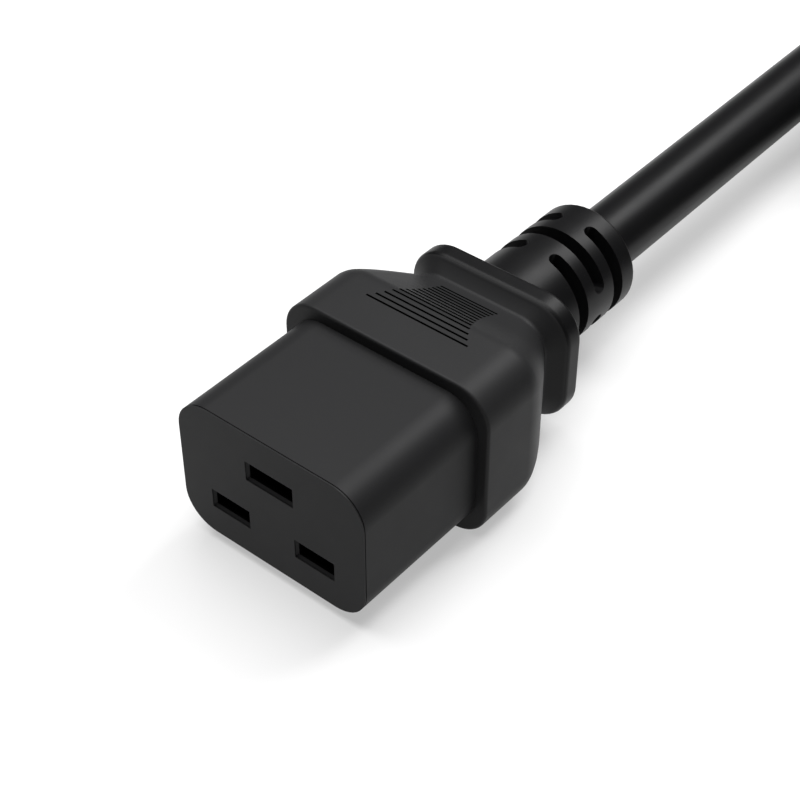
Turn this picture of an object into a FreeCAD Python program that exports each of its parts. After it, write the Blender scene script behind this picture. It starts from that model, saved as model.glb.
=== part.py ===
import FreeCAD, Part
import math
import os

# A fully moulded C19 power connector on its free cord, in millimetres.
# The connector lies on its collar. Its axis runs along Y: the mating face looks along -Y and the
# cord leaves along +Y. The origin is the middle of the connector's footprint, +Z is up.
# The cord is put away in a coil and ends in the C20 plug that such a cord has.

vec = FreeCAD.Vector

# ---- Socket insert: the hard moulding with the three openings ----
insert_width = 28.1
insert_height = 19.4
insert_corner = 4.6
nose_length = 20.0          # from the mating face to the overmould
nose_edge_radius = 0.4
front_wall = 2.0            # from the mating face to the contact chambers
chamber_height = 5.6
chamber_side_room = 0.5     # wider than the opening, each side
chamber_depth = 14.5
insert_tail_length = 7.0    # the part that the overmould grips
insert_tail_inset = 2.2

# ---- The three poles, as offsets from the axis ----
earth_slot_width = 6.6
earth_slot_height = 2.3
earth_rise = 3.9
power_slot_width = 5.4
power_slot_height = 2.2
power_drop = 4.05
power_pitch = 13.0
slot_lead_in = 0.3          # chamfer round each opening

# ---- Female contacts: one stamped and folded strip each ----
strip_thickness = 0.6
leaf_room = 0.3             # over and under the leaves in their chamber
leaf_side_room = 0.2        # the leaves are narrower than the opening, each side
mouth_setback = 0.8         # behind the front wall
mouth_room = 0.6            # the leaves' mouth stands this far off the blade, each side
pinch_bite = 0.25           # each leaf springs back this far when the blade enters
mouth_to_pinch = 2.4
pinch_to_shoulder = 3.6
shoulder_to_back = 6.2
neck_width = 3.0
barrel_length = 6.0
barrel_wall = 0.7
neck_overlap = 1.0          # the strip reaches this far into its crimp barrel
barrel_gap = 0.6            # between the insert's tail and the barrel

# ---- Cord: three cores laid together in one jacket ----
conductor_diameter = 1.85
core_wall = 0.83
jacket_wall = 0.77
core_gap = 0.1              # between the cores where they lie together
jacket_inside_flange = 2.0  # the jacket starts this far behind the finger flange

# ---- Overmould of the connector ----
collar_side_step = 1.6      # the collar stands out from the insert
collar_top_step = 1.67
collar_corner = 5.0
collar_edge_radius = 0.5
collar_straight = 9.2

# ---- Grip, finger flange and strain relief: the same tooling at both ends of the cord ----
taper_length = 11.3
neck_half_width = 9.6
neck_half_height = 6.2
neck_corner = 3.7
top_bend_radius = 3.5
side_bend_radius = 10.0
neck_flare_radius = 1.1
flange_side_step = 2.5      # the flange stands out from the neck
flange_top_step = 2.63
flange_corner = 5.3
flange_thickness = 2.6
flange_edge_radius = 0.9
relief_wall = 3.05          # round the cord
relief_length = 19.1
relief_edge_chamfer = 0.4
slot_rows = 3
first_slot_row = 7.65       # behind the flange
slot_row_pitch = 3.85
relief_slot_width = 2.0
relief_core_wall = 0.8      # left round the cord under the slots
web_angle = 28.0            # between two slots of a row
grip_grooves = 13
groove_pitch = 0.91
groove_width = 0.34
groove_depth = 0.45
first_groove = 6.05         # behind the collar's front edge
groove_waist = 4.4          # half-length of the shortest groove
groove_arc_radius = 13.8
waist_from_bend = 5.8

# ---- C20 plug at the far end ----
shroud_side_room = 0.55     # round the nose of the socket that goes in
shroud_wall = 2.0
shroud_end_room = 0.5
shroud_floor = 4.5
shroud_edge_radius = 0.6
blade_side_room = 0.2       # in the socket's opening, each side
blade_top_room = 0.1
blade_setback = 3.0         # from the shroud's rim to the blade's tip
blade_tip_chamfer = 0.6
plug_collar_straight = 7.5

# ---- Where the cord lies ----
straight_run = 63.0         # straight out of the strain relief
lead_in_points = [(0.0, 109.0), (0.0, 129.0)]     # x and y; down to the coil's first turn
lead_in_heights = [0.0, 1.0]                      # share of the way down
turn_gap = 0.1              # between turns that lie beside and on each other
turn_radii_in_spacings = [4, 5, 6]                # inner, middle and outer turns
coil_layers = 2
coil_centre_y = 127.0
coil_skin = 0.1             # the coil's outer shape stands this far off its turns
top_turn_start_angle = 165.0
top_turn_end_angle = 0.0
tie_thickness = 1.0
tie_width = 14.0
tie_angles = {"coil_tie_far": 90.0, "coil_tie_near": -90.0}
tail_level_run = 38.5       # off the top of the coil before the cord comes down
tail_points = [(98.0, 60.0), (98.0, 34.4)]       # x and y: foot of the slope, plug's rear end

# ---- How finely small forms are made ----
edge_round_steps = 2        # flats across a small rounded edge
plug_edge_round_steps = 1   # the plug's small edges are plain chamfers
skin_step = 1.6             # longest stretch of the taper's skin between two sections

# ---- Worked out from the sizes above ----
core_diameter = conductor_diameter + 2 * core_wall
lay_radius = (core_diameter + core_gap) / math.sqrt(3)
cord_diameter = core_diameter + 2 * lay_radius + 2 * jacket_wall
cord_radius = cord_diameter / 2
blade_thickness = power_slot_height - 2 * blade_top_room
barrel_width = conductor_diameter + 2 * barrel_wall
collar_width = insert_width + 2 * collar_side_step
collar_height = insert_height + 2 * collar_top_step
flange_width = 2 * (neck_half_width + flange_side_step)
flange_height = 2 * (neck_half_height + flange_top_step)
relief_radius = cord_radius + relief_wall
turn_spacing = cord_diameter + turn_gap
collar_start = nose_length
collar_bend = collar_start + collar_straight
plug_nose_length = nose_length + shroud_end_room + shroud_floor
plug_width = insert_width + 2 * (shroud_side_room + shroud_wall)
plug_height = insert_height + 2 * (shroud_side_room + shroud_wall)
plug_corner = insert_corner + shroud_side_room + shroud_wall


def grip_length(straight):
    """Length of an overmould, from its collar's front edge to the end of its strain relief."""
    return straight + taper_length + flange_thickness + relief_length


connector_length = nose_length + grip_length(collar_straight)
plug_length = plug_nose_length + grip_length(plug_collar_straight)
axis_height = collar_height / 2
plug_axis_height = plug_height / 2
relief_end_y = connector_length / 2


def poles(side=1):
    """Name, x, z, opening width and height of each pole; the plug's sides are mirrored."""
    power_x = side * power_pitch / 2
    return [
        ("earth", 0.0, earth_rise, earth_slot_width, earth_slot_height),
        ("line", -power_x, -power_drop, power_slot_width, power_slot_height),
        ("neutral", power_x, -power_drop, power_slot_width, power_slot_height),
    ]


# ---- Shapes in the frame of one connector: mating face at y = 0, axis on z = 0 ----

def rounded_rectangle(half_width, half_height, corner, y):
    """A closed outline square to the axis."""
    wide = half_width - corner
    tall = half_height - corner
    diagonal = corner * math.sqrt(0.5)
    edges = []
    for side_x, side_z in ((1, 1), (-1, 1), (-1, -1), (1, -1)):
        centre = vec(side_x * wide, y, side_z * tall)
        flat = centre + vec(side_x * corner, 0, 0)
        top = centre + vec(0, 0, side_z * corner)
        middle = centre + vec(side_x * diagonal, 0, side_z * diagonal)
        first, last = (flat, top) if side_x * side_z > 0 else (top, flat)
        if edges:
            edges.append(Part.LineSegment(edges[-1].EndPoint, first))
        edges.append(Part.Arc(first, middle, last))
    edges.append(Part.LineSegment(edges[-1].EndPoint, edges[0].StartPoint))
    return Part.Wire([edge.toShape() for edge in edges])


def edge_round(radius, steps):
    """Steps of a rounded edge, as distance from its end face and how far the outline draws in."""
    angles = [math.radians(90.0 * step / steps) for step in range(steps + 1)]
    return [(radius * (1 - math.cos(turn)), radius * (1 - math.sin(turn))) for turn in angles]


def rounded_prism(width, height, corner, start, end, front_radius=0.0, rear_radius=0.0,
                  steps=edge_round_steps):
    """A block with rounded corners, and rounded edges at its front or rear face if asked."""
    front = edge_round(front_radius, steps) if front_radius else [(0.0, 0.0)]
    rear = edge_round(rear_radius, steps) if rear_radius else [(0.0, 0.0)]
    stations = [(start + along, inset) for along, inset in front]
    stations += [(end - along, inset) for along, inset in reversed(rear)]
    return Part.makeLoft([
        rounded_rectangle(width / 2 - inset, height / 2 - inset, corner - inset, y)
        for y, inset in stations
    ], True, True)


def box(width, height, start, end, x=0.0, z=0.0):
    corner = vec(x - width / 2, start, z - height / 2)
    return Part.makeBox(width, end - start, height, corner)


def cylinder(radius, start, end, x=0.0, z=0.0):
    return Part.makeCylinder(radius, end - start, vec(x, start, z), vec(0, 1, 0))


def hexagonal_bar(across_flats, start, end, x=0.0, z=0.0):
    """A six-sided bar along the axis, with flats on top and underneath."""
    reach = across_flats / math.sqrt(3)
    corners = [
        vec(x + reach * math.cos(math.radians(angle)), start,
            z + reach * math.sin(math.radians(angle)))
        for angle in range(0, 361, 60)
    ]
    return Part.Face(Part.makePolygon(corners)).extrude(vec(0, end - start, 0))


def edges_at(shape, y):
    """The edges of a shape that lie in one plane square to the axis."""
    return [
        edge for edge in shape.Edges
        if abs(edge.BoundBox.YMin - y) < 1e-5 and abs(edge.BoundBox.YMax - y) < 1e-5
    ]


def tangent_path(points):
    """Straight runs joined by tangent arcs, each as large as its two runs allow."""
    edges = []
    radii = []
    start = points[0]
    for before, corner, after in zip(points, points[1:], points[2:]):
        back = before - corner
        ahead = after - corner
        reach = 0.45 * min(back.Length, ahead.Length)
        back.normalize()
        ahead.normalize()
        half_turn = (math.pi - back.getAngle(ahead)) / 2
        radius = reach / math.tan(half_turn)
        inward = (back + ahead).normalize()
        middle = corner + inward * (radius / math.cos(half_turn) - radius)
        enter = corner + back * reach
        leave = corner + ahead * reach
        edges.append(Part.LineSegment(start, enter).toShape())
        edges.append(Part.Arc(enter, middle, leave).toShape())
        radii.append(radius)
        start = leave
    edges.append(Part.LineSegment(start, points[-1]).toShape())
    return Part.Wire(edges), radii


def tube(points, radius):
    """A round solid along a tangent path."""
    section = Part.Wire(Part.makeCircle(radius, points[0], points[1] - points[0]))
    return tangent_path(points)[0].makePipeShell([section], True, True)


# ---- Socket insert and its contacts ----

def slot_opening(width, height, x, z):
    """An opening through the front wall with its lead-in chamfer."""
    hole = box(width, height, 0, front_wall, x, z)
    mouth = Part.makePolygon([
        vec(x + side_x * (width / 2 + slot_lead_in), 0, z + side_z * (height / 2 + slot_lead_in))
        for side_x, side_z in ((1, 1), (-1, 1), (-1, -1), (1, -1), (1, 1))
    ])
    throat = Part.makePolygon([
        vec(x + side_x * width / 2, slot_lead_in, z + side_z * height / 2)
        for side_x, side_z in ((1, 1), (-1, 1), (-1, -1), (1, -1), (1, 1))
    ])
    return hole.fuse(Part.makeLoft([mouth, throat], True, True))


def insert_tail(nose_end, width, height, corner):
    """The narrower block that the overmould is moulded round."""
    return rounded_prism(
        width - 2 * insert_tail_inset, height - 2 * insert_tail_inset,
        corner - insert_tail_inset, nose_end, nose_end + insert_tail_length,
    )


def socket_insert():
    nose = rounded_prism(insert_width, insert_height, insert_corner, 0, nose_length,
                         front_radius=nose_edge_radius)
    body = nose.fuse(insert_tail(nose_length, insert_width, insert_height, insert_corner))
    tail_end = nose_length + insert_tail_length
    for name, x, z, width, height in poles():
        chamber_width = width + 2 * chamber_side_room
        body = body.cut(slot_opening(width, height, x, z))
        body = body.cut(box(chamber_width, chamber_height, front_wall,
                            front_wall + chamber_depth, x, z))
        body = body.cut(box(neck_width, strip_thickness, front_wall, tail_end, x, z))
    return body.removeSplitter()


def crimp_barrel(x, z, start, neck_start):
    """A barrel crimped to six flats and the neck of the strip that it is rolled from."""
    end = start + barrel_length
    barrel = hexagonal_bar(barrel_width, start, end, x, z)
    bore = hexagonal_bar(conductor_diameter, start, end, x, z)
    neck = box(neck_width, strip_thickness, neck_start, start + neck_overlap, x, z)
    return barrel.cut(bore).fuse(neck)


def barrel_start(nose_end):
    return nose_end + insert_tail_length + barrel_gap


def socket_contact(x, z, slot_width):
    """Two sprung leaves folded from one strip, a neck through the insert and a crimp barrel."""
    mouth_y = front_wall + mouth_setback
    pinch_y = mouth_y + mouth_to_pinch
    shoulder_y = pinch_y + pinch_to_shoulder
    back_y = shoulder_y + shoulder_to_back
    leaf_outside = chamber_height / 2 - leaf_room
    leaf_inside = leaf_outside - strip_thickness
    mouth_rise = blade_thickness / 2 + mouth_room
    pinch_rise = blade_thickness / 2 - pinch_bite
    inside = [
        (mouth_y, mouth_rise),
        (pinch_y, pinch_rise),
        (shoulder_y, leaf_inside),
        (back_y - strip_thickness, leaf_inside),
    ]
    outside = [
        (back_y, leaf_outside),
        (shoulder_y, leaf_outside),
        (pinch_y, pinch_rise + strip_thickness),
        (mouth_y, mouth_rise + strip_thickness),
    ]
    ring = outside + inside + [(y, -rise) for y, rise in reversed(outside + inside)]
    leaf_width = slot_width - 2 * leaf_side_room
    outline = [vec(x - leaf_width / 2, y, z + rise) for y, rise in ring]
    leaves = Part.Face(Part.makePolygon(outline + outline[:1])).extrude(vec(leaf_width, 0, 0))
    crimp = crimp_barrel(x, z, barrel_start(nose_length), back_y - strip_thickness)
    return leaves.fuse(crimp).removeSplitter()


# ---- Cores and conductors between the crimps and the jacket ----

def jacket_start(nose_end, straight):
    return nose_end + straight + taper_length + flange_thickness + jacket_inside_flange


def conductor_end(x, z, nose_end):
    """The stripped end of a conductor, pressed to six flats inside its crimp."""
    start = barrel_start(nose_end)
    return hexagonal_bar(conductor_diameter, start + neck_overlap, start + barrel_length, x, z)


def core(x, z, nose_end, straight):
    """An insulated core, from its crimp to its place in the jacket: earth on top."""
    start = barrel_start(nose_end) + barrel_length
    end = jacket_start(nose_end, straight)
    lay_angle = math.radians(90.0 if x == 0 else math.copysign(60.0, x) - 90.0)
    inner_x = lay_radius * math.cos(lay_angle)
    inner_z = lay_radius * math.sin(lay_angle)
    section = Part.Wire(Part.makeCircle(core_diameter / 2, vec(x, start, z), vec(0, 1, 0)))
    return Part.Face(section).extrude(vec(inner_x - x, end - start, inner_z - z))


# ---- Overmould: collar, tapered grip, finger flange and slotted strain relief ----

def bend_profile(y, bend, large, small, radius):
    """Half of a size along the grip: level, then round the bend, then down the taper."""
    slope = (large - small) / taper_length
    angle = math.atan(slope)
    reach = radius * math.tan(angle / 2)
    if y <= bend - reach:
        return large
    if y < bend + reach * math.cos(angle):
        return large - radius + math.sqrt(radius ** 2 - (y - bend + reach) ** 2)
    return large - slope * (y - bend)


def grip_section(y, bend, half_width, half_height, corner, flare=0.0):
    share = max(0.0, (y - bend) / taper_length)
    return rounded_rectangle(
        bend_profile(y, bend, half_width, neck_half_width, side_bend_radius) + flare,
        bend_profile(y, bend, half_height, neck_half_height, top_bend_radius) + flare,
        corner + (neck_corner - corner) * share + flare,
        y,
    )


def stations(start, end):
    """Even places from one end to the other, with no two further apart than a skin step."""
    steps = math.ceil((end - start) / skin_step)
    return [start + (end - start) * step / steps for step in range(steps + 1)]


def grip_body(start, straight, width, height, corner, steps):
    """The collar and the taper behind it, flared where it meets the flange."""
    bend = start + straight
    neck = bend + taper_length
    slope = (width / 2 - neck_half_width) / taper_length
    side_reach = side_bend_radius * math.tan(math.atan(slope) / 2)
    places = stations(bend - side_reach, bend + side_reach)
    places += stations(bend + side_reach, neck - neck_flare_radius)[1:-1]
    sections = [grip_section(y, bend, width / 2, height / 2, corner) for y in places]
    for back, draw in reversed(edge_round(neck_flare_radius, steps)):
        sections.append(grip_section(neck - draw, bend, width / 2, height / 2, corner,
                                     neck_flare_radius - back))
    taper = Part.makeLoft(sections, True, True)
    collar = rounded_prism(width, height, corner, start, places[0],
                           front_radius=collar_edge_radius, steps=steps)
    return collar.fuse(taper)


def finger_flange(start, steps):
    return rounded_prism(flange_width, flange_height, flange_corner,
                         start, start + flange_thickness, flange_edge_radius,
                         flange_edge_radius, steps)


def relief_slot(y, middle_angle):
    """One round-ended slot of the strain relief, round the axis."""
    inner = cord_radius + relief_core_wall
    outer = relief_radius + 1
    half_width = relief_slot_width / 2
    end_angle = math.degrees(half_width / relief_radius)
    span = 180.0 - web_angle - 2 * end_angle
    section = Part.makePolygon([
        vec(inner, y - half_width, 0), vec(outer, y - half_width, 0),
        vec(outer, y + half_width, 0), vec(inner, y + half_width, 0),
        vec(inner, y - half_width, 0),
    ])
    sector = Part.Face(section).revolve(vec(0, 0, 0), vec(0, 1, 0), span)
    ends = [
        Part.makeCylinder(half_width, outer - inner, vec(inner, y, 0), vec(1, 0, 0)).rotate(
            vec(0, 0, 0), vec(0, 1, 0), turn)
        for turn in (0, span)
    ]
    slot = sector.fuse(ends)
    slot.rotate(vec(0, 0, 0), vec(0, 1, 0), middle_angle - span / 2)
    return slot


def strain_relief(start):
    """A round sleeve with rows of slots; the webs of each row are a quarter turn from the next."""
    end = start + relief_length
    sleeve = cylinder(relief_radius, start, end)
    sleeve = sleeve.makeChamfer(relief_edge_chamfer, edges_at(sleeve, end))
    slots = []
    for row in range(slot_rows):
        y = start + first_slot_row + row * slot_row_pitch
        quarter = 0.0 if row % 2 == 0 else 90.0
        slots += [relief_slot(y, quarter), relief_slot(y, quarter + 180.0)]
    return sleeve.cut(slots)


def grip_groove(distance, start, bend, half_height, waist):
    """One groove across the top; distance is measured along the surface."""
    slope = (half_height - neck_half_height) / taper_length
    angle = math.atan(slope)
    y = start + distance
    if y > bend:
        y = bend + (y - bend) * math.cos(angle)
    tilt = math.degrees(angle) if y > bend else 0.0
    z = bend_profile(y, bend, half_height, neck_half_height, top_bend_radius)
    back = max(0.0, waist - y)
    widening = groove_arc_radius - math.sqrt(groove_arc_radius ** 2 - back ** 2)
    cutter = box(2 * (groove_waist + widening), 2 * groove_depth,
                 -groove_width / 2, groove_width / 2)
    cutter.rotate(vec(0, 0, 0), vec(1, 0, 0), -tilt)
    cutter.translate(vec(0, y, z))
    return cutter


def overmould(nose_end, straight, width, height, corner, tail, side, steps):
    """One moulding, cut to fit the insert's tail, the crimps, the cores and the jacket."""
    bend = nose_end + straight
    neck = bend + taper_length
    relief = neck + flange_thickness
    body = grip_body(nose_end, straight, width, height, corner, steps)
    body = body.fuse([finger_flange(neck, steps), strain_relief(relief)])
    grooves = [
        grip_groove(first_groove + number * groove_pitch - (collar_straight - straight),
                    nose_end, bend, height / 2, bend + waist_from_bend)
        for number in range(grip_grooves)
    ]
    start = barrel_start(nose_end)
    inside = [tail, cylinder(cord_radius, jacket_start(nose_end, straight),
                             relief + relief_length)]
    for name, x, z, slot_width, slot_height in poles(side):
        inside.append(hexagonal_bar(barrel_width, start, start + barrel_length, x, z))
        inside.append(box(neck_width, strip_thickness, nose_end, start + neck_overlap, x, z))
        inside.append(core(x, z, nose_end, straight))
    return body.cut(grooves).cut(inside).removeSplitter()


# ---- C20 plug ----

def plug_insert():
    """A deep shroud with a floor that carries the three blades."""
    cup = rounded_prism(plug_width, plug_height, plug_corner, 0, plug_nose_length,
                        front_radius=shroud_edge_radius, steps=plug_edge_round_steps)
    cavity = rounded_prism(
        insert_width + 2 * shroud_side_room, insert_height + 2 * shroud_side_room,
        insert_corner + shroud_side_room, 0, nose_length + shroud_end_room,
    )
    body = cup.cut(cavity)
    body = body.fuse(insert_tail(plug_nose_length, plug_width, plug_height, plug_corner))
    tail_end = plug_nose_length + insert_tail_length
    for name, x, z, width, height in poles(-1):
        body = body.cut(box(width - 2 * blade_side_room, blade_thickness,
                            nose_length, plug_nose_length, x, z))
        body = body.cut(box(neck_width, strip_thickness, plug_nose_length, tail_end, x, z))
    return body.removeSplitter()


def plug_blade(x, z, slot_width):
    """A flat blade with a chamfered tip, a neck and a crimp barrel."""
    width = slot_width - 2 * blade_side_room
    blade = box(width, blade_thickness, blade_setback, plug_nose_length, x, z)
    blade = blade.makeChamfer(blade_tip_chamfer, edges_at(blade, blade_setback))
    neck_start = plug_nose_length - blade_thickness
    crimp = crimp_barrel(x, z, barrel_start(plug_nose_length), neck_start)
    return blade.fuse(crimp).removeSplitter()


# ---- The cord, its coil and its ties, in the part's own frame ----

turn_radii = [count * turn_spacing for count in turn_radii_in_spacings]
coil_centre = vec(turn_radii[-1], coil_centre_y, 0)
first_layer = tie_thickness + coil_skin + cord_radius
layer_heights = [first_layer + layer * turn_spacing for layer in range(coil_layers)]
top_turn_height = layer_heights[-1] + turn_spacing + coil_skin
top_turn_radius = (turn_radii[-1] + turn_radii[-2]) / 2


def coil_point(radius, angle, height):
    turn = math.radians(angle)
    return coil_centre + vec(radius * math.cos(turn), radius * math.sin(turn), height)


def bundle_section(with_top_turn, skin):
    """Outer shape of the bundle of turns, on the +X side of the coil, with bevelled corners."""
    reach = cord_radius + skin
    bevel = reach * math.tan(math.radians(22.5))
    inner, outer = turn_radii[0], turn_radii[-1]
    low, high = layer_heights[0], layer_heights[-1]
    outline = [(inner - reach, low - reach), (outer + reach, low - reach),
               (outer + reach, high + bevel)]
    if with_top_turn:
        top = top_turn_height + reach
        outline += [(top_turn_radius + reach, top_turn_height + bevel),
                    (top_turn_radius + bevel, top), (top_turn_radius - bevel, top)]
    else:
        outline.append((outer + bevel, high + reach))
    outline += [(inner - bevel, high + reach), (inner - reach, high + bevel)]
    corners = [coil_centre + vec(radius, 0, height) for radius, height in outline]
    return Part.Face(Part.makePolygon(corners + corners[:1]))


def swung(face, start_angle, span):
    """A section swung round the coil's axis."""
    solid = face.revolve(coil_centre, vec(0, 0, 1), span)
    return solid.rotate(coil_centre, vec(0, 0, 1), start_angle)


def lead_in_route():
    start = vec(0, relief_end_y + straight_run, axis_height)
    drop = axis_height - first_layer
    return [start] + [
        vec(x, y, axis_height - share * drop)
        for (x, y), share in zip(lead_in_points, lead_in_heights)
    ]


def cord_coil():
    """The outer shape of the coil, with the cord that leads in and the turn on top."""
    ring = swung(bundle_section(False, coil_skin), 0, 360)
    span = top_turn_start_angle - top_turn_end_angle
    reach = cord_radius + coil_skin
    bevel = reach * math.tan(math.radians(22.5))
    outline = [(-reach, -turn_spacing), (reach, -turn_spacing), (reach, bevel),
               (bevel, reach), (-bevel, reach), (-reach, bevel)]
    crown = coil_centre + vec(top_turn_radius, 0, top_turn_height)
    corners = [crown + vec(across, 0, rise) for across, rise in outline]
    top_turn = swung(Part.Face(Part.makePolygon(corners + corners[:1])),
                     top_turn_end_angle, span)
    return ring.fuse([top_turn, tube(lead_in_route(), cord_radius)]).removeSplitter()


def coil_tie(angle, over_top_turn):
    """A strap closed round the bundle."""
    half_span = math.degrees(tie_width / 2 / turn_radii[-1])
    outside = bundle_section(over_top_turn, coil_skin + tie_thickness)
    inside = bundle_section(over_top_turn, coil_skin)
    return swung(outside.cut(inside), angle - half_span, 2 * half_span)


def tail_route():
    """From the end of the turn on top, level over the coil, down the slope to the plug."""
    leave = coil_point(top_turn_radius, top_turn_end_angle, top_turn_height)
    turn = math.radians(top_turn_end_angle)
    heading = vec(math.sin(turn), -math.cos(turn), 0)
    return [leave, leave + heading * tail_level_run] + [
        vec(x, y, plug_axis_height) for x, y in tail_points
    ]


def placed_connector(shape):
    return shape.translate(vec(0, -connector_length / 2, axis_height))


def placed_plug(shape):
    """The plug's strain relief ends at the last point of the cord, in line with its last run."""
    foot, rear = tail_route()[-2:]
    run = foot - rear
    yaw = math.degrees(math.atan2(run.y, run.x)) - 90.0
    shape.translate(vec(0, -plug_length, 0))
    shape.rotate(vec(0, 0, 0), vec(0, 0, 1), yaw)
    return shape.translate(rear)


def relief_bore(nose_end, straight, end):
    """The cord inside its strain relief."""
    return cylinder(cord_radius, jacket_start(nose_end, straight), end)


def build():
    """Every piece of the object, by node name, in its place."""
    pieces = {"socket_insert": placed_connector(socket_insert())}
    for name, x, z, width, height in poles():
        pieces["socket_contact_" + name] = placed_connector(socket_contact(x, z, width))
        pieces["core_" + name] = placed_connector(core(x, z, nose_length, collar_straight))
        pieces["conductor_" + name] = placed_connector(conductor_end(x, z, nose_length))
    tail = insert_tail(nose_length, insert_width, insert_height, insert_corner)
    pieces["overmould"] = placed_connector(overmould(
        nose_length, collar_straight, collar_width, collar_height, collar_corner, tail, 1,
        edge_round_steps))

    straight_end = connector_length + straight_run
    pieces["cord_run"] = placed_connector(
        relief_bore(nose_length, collar_straight, straight_end))
    pieces["cord_coil"] = cord_coil()
    inside_plug = placed_plug(relief_bore(plug_nose_length, plug_collar_straight, plug_length))
    pieces["cord_tail"] = tube(tail_route(), cord_radius).fuse(inside_plug).removeSplitter()
    for node, angle in tie_angles.items():
        over_top = top_turn_end_angle < angle < top_turn_start_angle
        pieces[node] = coil_tie(angle, over_top)

    pieces["plug_insert"] = placed_plug(plug_insert())
    for name, x, z, width, height in poles(-1):
        pieces["plug_blade_" + name] = placed_plug(plug_blade(x, z, width))
        pieces["plug_core_" + name] = placed_plug(
            core(x, z, plug_nose_length, plug_collar_straight))
        pieces["plug_conductor_" + name] = placed_plug(conductor_end(x, z, plug_nose_length))
    tail = insert_tail(plug_nose_length, plug_width, plug_height, plug_corner)
    pieces["plug_overmould"] = placed_plug(overmould(
        plug_nose_length, plug_collar_straight, plug_width, plug_height, plug_corner, tail, -1,
        plug_edge_round_steps))

    return pieces


def print_route(label, route):
    """The cord's bend radii, and its volume as a share of its section times its length."""
    path, radii = tangent_path(route)
    expected = math.pi * cord_radius ** 2 * path.Length
    share = tube(route, cord_radius).Volume / expected
    print(label, "radii", [round(radius, 1) for radius in radii], "volume", round(share, 4))


print_route("cord lead-in", lead_in_route())
print_route("cord tail", tail_route())
for node, shape in build().items():
    shape.exportStep("parts/" + node + ".step")
    print(node, "solids", len(shape.Solids), "valid", shape.isValid(),
          "volume", round(shape.Volume, 1))
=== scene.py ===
import math

import bmesh
import bpy
from bpy.props import FloatProperty, FloatVectorProperty, IntProperty, PointerProperty
from mathutils import Matrix, Vector


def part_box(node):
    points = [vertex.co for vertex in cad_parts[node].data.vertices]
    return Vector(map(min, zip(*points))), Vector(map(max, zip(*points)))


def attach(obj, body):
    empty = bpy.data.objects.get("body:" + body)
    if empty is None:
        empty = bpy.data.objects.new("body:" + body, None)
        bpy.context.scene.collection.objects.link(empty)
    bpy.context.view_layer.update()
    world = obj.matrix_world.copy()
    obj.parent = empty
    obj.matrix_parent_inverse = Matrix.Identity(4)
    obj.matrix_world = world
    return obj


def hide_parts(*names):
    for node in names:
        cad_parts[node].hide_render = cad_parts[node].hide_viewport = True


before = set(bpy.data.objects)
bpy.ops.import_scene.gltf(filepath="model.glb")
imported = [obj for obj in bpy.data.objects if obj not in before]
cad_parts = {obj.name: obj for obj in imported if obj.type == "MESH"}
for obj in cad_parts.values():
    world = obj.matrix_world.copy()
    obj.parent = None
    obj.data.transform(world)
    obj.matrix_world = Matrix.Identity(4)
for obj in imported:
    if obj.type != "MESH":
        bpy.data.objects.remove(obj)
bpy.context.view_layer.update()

bl_info = {
    "name": "C19 power connector",
    "version": (1, 0, 0),
    "blender": (4, 5, 0),
    "location": "View3D > Sidebar > Connector",
    "description": "Builds a moulded C19 power connector, its coiled cord, its plug and a stage",
    "category": "Object",
}

MM = 0.001
MERGE = 0.001 * MM        # vertices nearer than this are one
CLEAR = 0.2 * MM          # how far a cutter runs past the face that it opens
SHARP = math.radians(32)  # edges of more than this angle stay hard
WHITE = (1.0, 1.0, 1.0, 1.0)
insert_low, insert_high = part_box("socket_insert")
overmould_low, overmould_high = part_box("overmould")
plug_insert_low, plug_insert_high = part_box("plug_insert")
plug_low, plug_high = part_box("plug_overmould")
cord_low, cord_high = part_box("cord_run")
CORD_RADIUS = (cord_high.x - cord_low.x) / 2
# The recess finish is painted shade: near black, fully matt and without shine, in the grooves and
# deep in the openings.
HARD, PAINTED_SHADE, GRIP, RELIEF = (
    "Hard black moulding", "Painted recess shade", "Soft black moulding", "Satin strain relief")
INSERT_FINISHES = (HARD, PAINTED_SHADE)
GRIP_FINISHES = (GRIP, PAINTED_SHADE, RELIEF)
POLES = ("earth", "line", "neutral")


# ---- Sizes and colours that a user would change ----

def length(name, description, default):
    return FloatProperty(name=name, description=description, default=default, min=0.0,
                         subtype="DISTANCE", unit="LENGTH", precision=5)


def degrees(name, description, default):
    return FloatProperty(name=name, description=description, default=math.radians(default),
                         subtype="ANGLE", unit="ROTATION")


def amount(name, description, default, unit="NONE"):
    return FloatProperty(name=name, description=description, default=default, min=0.0,
                         unit=unit)


def position(name, description, default):
    return FloatVectorProperty(name=name, description=description, default=default, size=3,
                               subtype="TRANSLATION", unit="LENGTH", precision=5)


def share(name, description, default):
    return FloatProperty(name=name, description=description, default=default, min=0.0, max=1.0,
                         subtype="FACTOR")


def colour(name, description, default):
    return FloatVectorProperty(name=name, description=description, default=default, size=3,
                               min=0.0, max=1.0, subtype="COLOR")


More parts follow.
